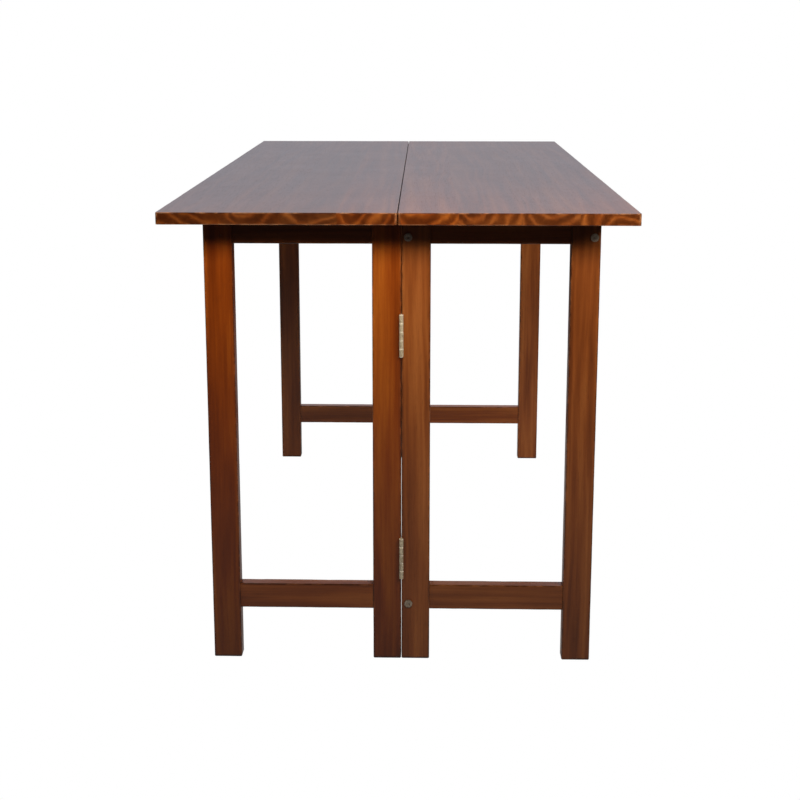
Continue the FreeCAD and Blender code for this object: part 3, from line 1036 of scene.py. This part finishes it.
@dataclass
class EasedPart:
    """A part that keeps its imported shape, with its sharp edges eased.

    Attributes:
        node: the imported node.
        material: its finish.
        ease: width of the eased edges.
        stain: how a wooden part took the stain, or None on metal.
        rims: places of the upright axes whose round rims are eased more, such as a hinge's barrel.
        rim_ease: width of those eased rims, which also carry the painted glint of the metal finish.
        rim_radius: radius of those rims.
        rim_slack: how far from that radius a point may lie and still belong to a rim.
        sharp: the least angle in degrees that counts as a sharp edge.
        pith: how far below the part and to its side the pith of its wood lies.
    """

    node: str
    material: Material
    ease: float
    stain: Stain | None = None
    rims: tuple[Pair, ...] = ()
    rim_ease: float = 0.9 * MM
    rim_radius: float = 3.5 * MM
    rim_slack: float = 0.1 * MM
    sharp: float = 40.0
    pith: Pair = (30 * MM, 20 * MM)

    def on_rim(self, edge: bmesh.types.BMEdge) -> bool:
        """Whether an edge lies on one of the round rims."""
        places = [vert.co for vert in edge.verts]
        for x, y in self.rims:
            gaps = [abs(math.hypot(place.x - x, place.y - y) - self.rim_radius) for place in places]
            if max(gaps) < self.rim_slack:
                return True
        return False

    def ease_edges(self, work: bmesh.types.BMesh, rims: bool, width: float) -> list[bmesh.types.BMFace]:
        """Rounds the sharp edges over.

        Args:
            work: the mesh under construction.
            rims: whether the round rims or the other edges are rounded.
            width: how wide the rounding is.

        Returns:
            The faces of the rounding.
        """
        least = math.radians(self.sharp)
        edges = [
            edge for edge in work.edges
            if edge.is_manifold and edge.calc_face_angle() > least and self.on_rim(edge) == rims
        ]
        eased = bmesh.ops.bevel(
            work, geom=edges, offset=width, segments=2, profile=0.5, affect="EDGES", clamp_overlap=not rims
        )
        return eased["faces"]

    def mesh(self) -> Mesh:
        """Builds the part's mesh.

        Returns:
            The mesh, with its grain and stain data if it is wooden.
        """
        work = bmesh.new()
        work.from_mesh(frame["nodes"][self.node].data)
        bmesh.ops.remove_doubles(work, verts=work.verts, dist=0.005 * MM)
        bmesh.ops.dissolve_limit(work, angle_limit=math.radians(0.5), verts=work.verts, edges=work.edges)
        # The rims' rounding faces are marked rubbed, which the metal finish paints pale as a painted glint.
        if self.rims:
            rubbed = work.faces.layers.float.new("rubbed")
            for face in self.ease_edges(work, True, self.rim_ease):
                face[rubbed] = 1.0
        self.ease_edges(work, False, self.ease)
        mesh = smooth_mesh(work, self.node + "_eased")
        if self.stain is not None:
            self.write_wood(mesh, self.stain)
        return mesh

    def write_wood(self, mesh: Mesh, stain: Stain) -> None:
        """Stores, for each face corner, its place from the pith and its stain.

        Args:
            mesh: the finished mesh.
            stain: how the part took the stain.
        """
        low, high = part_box(self.node)
        middle = (low + high) / 2
        grain = mesh.attributes.new("grain", "FLOAT_VECTOR", "CORNER")
        stained = mesh.attributes.new("stain", "FLOAT_VECTOR", "CORNER")
        for polygon in mesh.polygons:
            end = min(max((abs(polygon.normal.y) - END_START) * END_RISE, 0.0), 1.0)
            for corner in polygon.loop_indices:
                place = mesh.vertices[mesh.loops[corner].vertex_index].co
                across = (place.z - middle.z + self.pith[0], place.x - middle.x + self.pith[1])
                grain.data[corner].vector = (*across, place.y)
                stained.data[corner].vector = (stain.warmth, stain.depth, end)

    def make(self) -> Piece:
        """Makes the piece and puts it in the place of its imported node."""
        return seat(self.mesh(), self.material, self.node)


@dataclass
class Understructure:
    """The aprons, the long stretcher, the cleats and the dowels that tie the end frames together."""

    materials: dict[str, Material]
    arris: float = 0.8 * MM
    dowel_ease: float = 0.4 * MM

    def build(self) -> list[Piece]:
        """Builds the pieces.

        Returns:
            The pieces.
        """
        plans = (
            ("outer_apron", "Frame Wood", self.arris, Stain(0.4, 0.5)),
            ("centre_apron", "Frame Wood", self.arris, Stain(0.5, 0.6)),
            ("long_stretcher", "Frame Wood", self.arris, Stain(0.6, 0.55)),
            ("outer_cleat", "Hidden Wood", self.arris, Stain(0.3, 0.5)),
            ("centre_cleat", "Hidden Wood", self.arris, Stain(0.4, 0.4)),
            ("frame_dowels", "Dowel Wood", self.dowel_ease, Stain(0.2, 0.4)),
        )
        return [
            EasedPart(node, self.materials[finish], ease, stain).make() for node, finish, ease, stain in plans
        ]


@dataclass
class Hardware:
    """The hinges, pins, screws, bolts and barrel nuts."""

    materials: dict[str, Material]
    hinge_ease: float = 0.2 * MM
    pin_ease: float = 0.5 * MM
    screw_ease: float = 0.12 * MM
    bolt_ease: float = 0.5 * MM

    def build(self) -> list[Piece]:
        """Builds a piece for every metal node.

        Returns:
            The pieces.
        """
        kinds = {
            "plates": ("Hinge Metal", self.hinge_ease),
            "hinge_pins": ("Hinge Metal", self.pin_ease),
            "screws": ("Screw Steel", self.screw_ease),
            "rail_pin": ("Bolt Steel", self.pin_ease),
            "frame_bolts": ("Bolt Steel", self.bolt_ease),
            "barrel_nuts": ("Bolt Steel", self.bolt_ease),
        }
        pieces = []
        for node in sorted(frame["nodes"]):
            for ending, (finish, ease) in kinds.items():
                if node.endswith(ending):
                    rims = self.gate_axes() if ending == "plates" and "leaf" not in node else ()
                    pieces.append(EasedPart(node, self.materials[finish], ease, rims=rims).make())
        return pieces

    def gate_axes(self) -> tuple[Pair, ...]:
        """Where the upright axes of the two gates stand."""
        low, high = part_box("gate_hinge_pins")
        middle = (low.x + high.x) / 2
        reach = (high.x - low.x) / 2
        return (middle, low.y + reach), (middle, high.y - reach)


# ---------------------------------------------------------------- studio
@dataclass(frozen=True)
class Lamp:
    """A soft rectangular light.

    Attributes:
        name: the light's name.
        place: where it stands.
        aim: the point that it faces.
        size: its width and height.
        power: its power in watts.
        colour: its colour.
        spread: how wide its beam is, in degrees.
    """

    name: str
    place: Triple
    aim: Triple
    size: Pair
    power: float
    colour: Colour = (1.0, 0.95, 0.9)
    spread: float = 180.0

    def build(self) -> Piece:
        """Adds the light to the scene, hidden from the camera and from reflections.

        Returns:
            The light.
        """
        light = bpy.data.lights.new(self.name, "AREA")
        light.shape = "RECTANGLE"
        light.size, light.size_y = self.size
        light.energy = self.power
        light.color = self.colour
        light.spread = math.radians(self.spread)
        lamp = placed(self.name, light)
        lamp.location = self.place
        lamp.rotation_euler = (Vector(self.aim) - Vector(self.place)).to_track_quat("-Z", "Y").to_euler()
        lamp.visible_camera = False
        lamp.visible_glossy = False
        return lamp


WHITE: Colour = (1.0, 1.0, 1.0)
LAMPS = (
    Lamp("Key", (0.1, -1.08, 1.0), (0.0, -0.47, 0.66), (1.5, 0.14), 4.6, (1.0, 0.86, 0.70), 100.0),
    Lamp("Side", (0.95, -1.55, 1.17), (0.3, -0.1, 0.35), (0.35, 0.2), 6.5),
    Lamp("Right", (1.2, -0.15, 0.68), (0.3, 0.45, 0.6), (0.4, 0.3), 2.2, spread=120.0),
    Lamp("Far Side", (-1.6, 0.7, 0.8), (-0.3, 0.1, 0.4), (0.8, 0.9), 9.0),
    Lamp("Back", (-0.3, 2.6, 1.9), (0.0, 0.3, 0.3), (2.4, 1.6), 34.0),
)


@dataclass
class Studio:
    """A plain pale floor, soft lights and the camera.

    Attributes:
        floor_radius: radius of the floor.
        paper_reach: where the floor starts and stops giving less light back, from its middle.
        paper: how pale it is inside and outside that reach.
        mirror_reach: where what the lacquer mirrors of the floor starts and stops falling off.
        mirror: how bright that is inside and outside its reach.
        room: colour of the light from the room.
        room_rise: its strength at table height and above.
        room_least: its strength in front.
        camera_place: where the camera stands.
        camera_pitch: how far it looks down, in degrees.
        camera_yaw: how far it is turned to the left, in degrees.
        lens: its focal length in millimetres.
        lens_shift: how far its frame is shifted down, as a share of its width.
    """

    floor_radius: float = 14.0
    paper_reach: Pair = (0.9, 2.6)
    paper: Pair = (0.45, 0.05)
    mirror_reach: Pair = (1.0, 2.8)
    mirror: Pair = (0.3, 0.02)
    room: Colour = (0.985, 0.975, 1.09)
    room_rise: Pair = (0.40, 0.62)
    room_least: float = 0.012
    camera_place: Triple = (0.0396, -2.329, 1.0019)
    camera_pitch: float = 10.12
    camera_yaw: float = 1.19
    lens: float = 54.78
    lens_shift: float = -0.185

    def build(self) -> None:
        """Builds the floor, the surroundings, the lights and the camera."""
        self.floor()
        self.surroundings()
        for lamp in LAMPS:
            lamp.build()
        self.camera()

    def floor(self) -> None:
        """Builds the floor, which looks evenly lit and pale."""
        work = bmesh.new()
        bmesh.ops.create_circle(work, cap_ends=True, segments=96, radius=self.floor_radius)
        mesh = bpy.data.meshes.new("studio_floor")
        work.to_mesh(mesh)
        work.free()
        floor = placed("studio_floor", mesh)
        material, graph, shader = new_material("Studio Floor")
        reach = graph.vector("LENGTH", graph.node("TexCoord").outputs["Object"])
        paper = graph.spread(reach, *self.paper_reach, self.paper)
        graph.fill(shader, {"Base Color": paper, "Roughness": 0.9})
        glow = graph.fill(graph.node("Emission"), {"Color": WHITE, "Strength": 1.0})
        mirror = graph.spread(reach, *self.mirror_reach, self.mirror)
        mirrored = graph.fill(graph.node("Emission"), {"Color": WHITE, "Strength": mirror})
        light = graph.node("LightPath").outputs
        lit = self.either(graph, light["Is Glossy Ray"], shader.outputs[0], mirrored.outputs[0])
        shown = self.either(graph, light["Is Camera Ray"], lit, glow.outputs[0])
        graph.feed(material.node_tree.nodes["Material Output"].inputs[0], shown)
        mesh.materials.append(material)

    def surroundings(self) -> None:
        """Builds the white backdrop, which lights the table less than it shows."""
        world = bpy.data.worlds.new("Studio")
        world.use_nodes = True
        bpy.context.scene.world = world
        graph = Graph(world.node_tree)
        seen = graph.fill(world.node_tree.nodes["Background"], {"Color": WHITE})
        way = graph.node("SeparateXYZ")
        graph.feed(way.inputs[0], graph.node("TexCoord").outputs["Generated"])
        behind = graph.spread(way.outputs["Y"], 0.1, 0.85)
        rise = graph.spread(way.outputs["Z"], 0.0, 0.35, self.room_rise)
        glow = graph.math("ADD", graph.math("MULTIPLY", behind, rise), self.room_least)
        room = graph.fill(graph.node("Background"), {"Color": self.room, "Strength": glow})
        direct = graph.node("LightPath").outputs["Is Camera Ray"]
        shown = self.either(graph, direct, room.outputs[0], seen.outputs[0])
        graph.feed(world.node_tree.nodes["World Output"].inputs[0], shown)

    def either(self, graph: Graph, test: Socket, usual: Socket, other: Socket) -> Socket:
        """Picks between two shaders.

        Args:
            graph: the graph to add to.
            test: 1 where the other shader is wanted.
            usual: the usual shader.
            other: the other shader.

        Returns:
            The picked shader.
        """
        return graph.fill(graph.node("MixShader"), {0: test, 1: usual, 2: other}).outputs[0]

    def camera(self) -> None:
        """Places the camera in front of the table's end."""
        lens = bpy.data.cameras.new("Camera")
        lens.lens = self.lens
        lens.shift_y = self.lens_shift
        camera = placed("Camera", lens)
        camera.location = self.camera_place
        camera.rotation_euler = (math.radians(90 - self.camera_pitch), 0.0, math.radians(self.camera_yaw))
        bpy.context.scene.camera = camera
        bpy.context.scene.view_settings.view_transform = "Standard"


def main() -> None:
    """Builds every sub-assembly in order and reports its pieces."""
    logging.basicConfig(level=logging.INFO, format="%(name)s: %(message)s")
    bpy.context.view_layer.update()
    materials = Finishes(Effects()).build()
    assemblies = [TableTop(materials)]
    for legs, rails, stains, seed, painted_foot_shade in END_FRAMES:
        nodes = tuple(legs[0] + end for end in legs[1:]) + tuple(rails + end for end in ("rail", "stretcher"))
        assemblies.append(EndFrame(materials, nodes, stains, seed, painted_foot_shade))
    assemblies += [Understructure(materials), Hardware(materials)]
    for assembly in assemblies:
        for piece in assembly.build():
            log.info("%s: %s, %d faces", type(assembly).__name__, piece.name, len(piece.data.polygons))
    Studio().build()


if __name__ == "__main__":
    main()
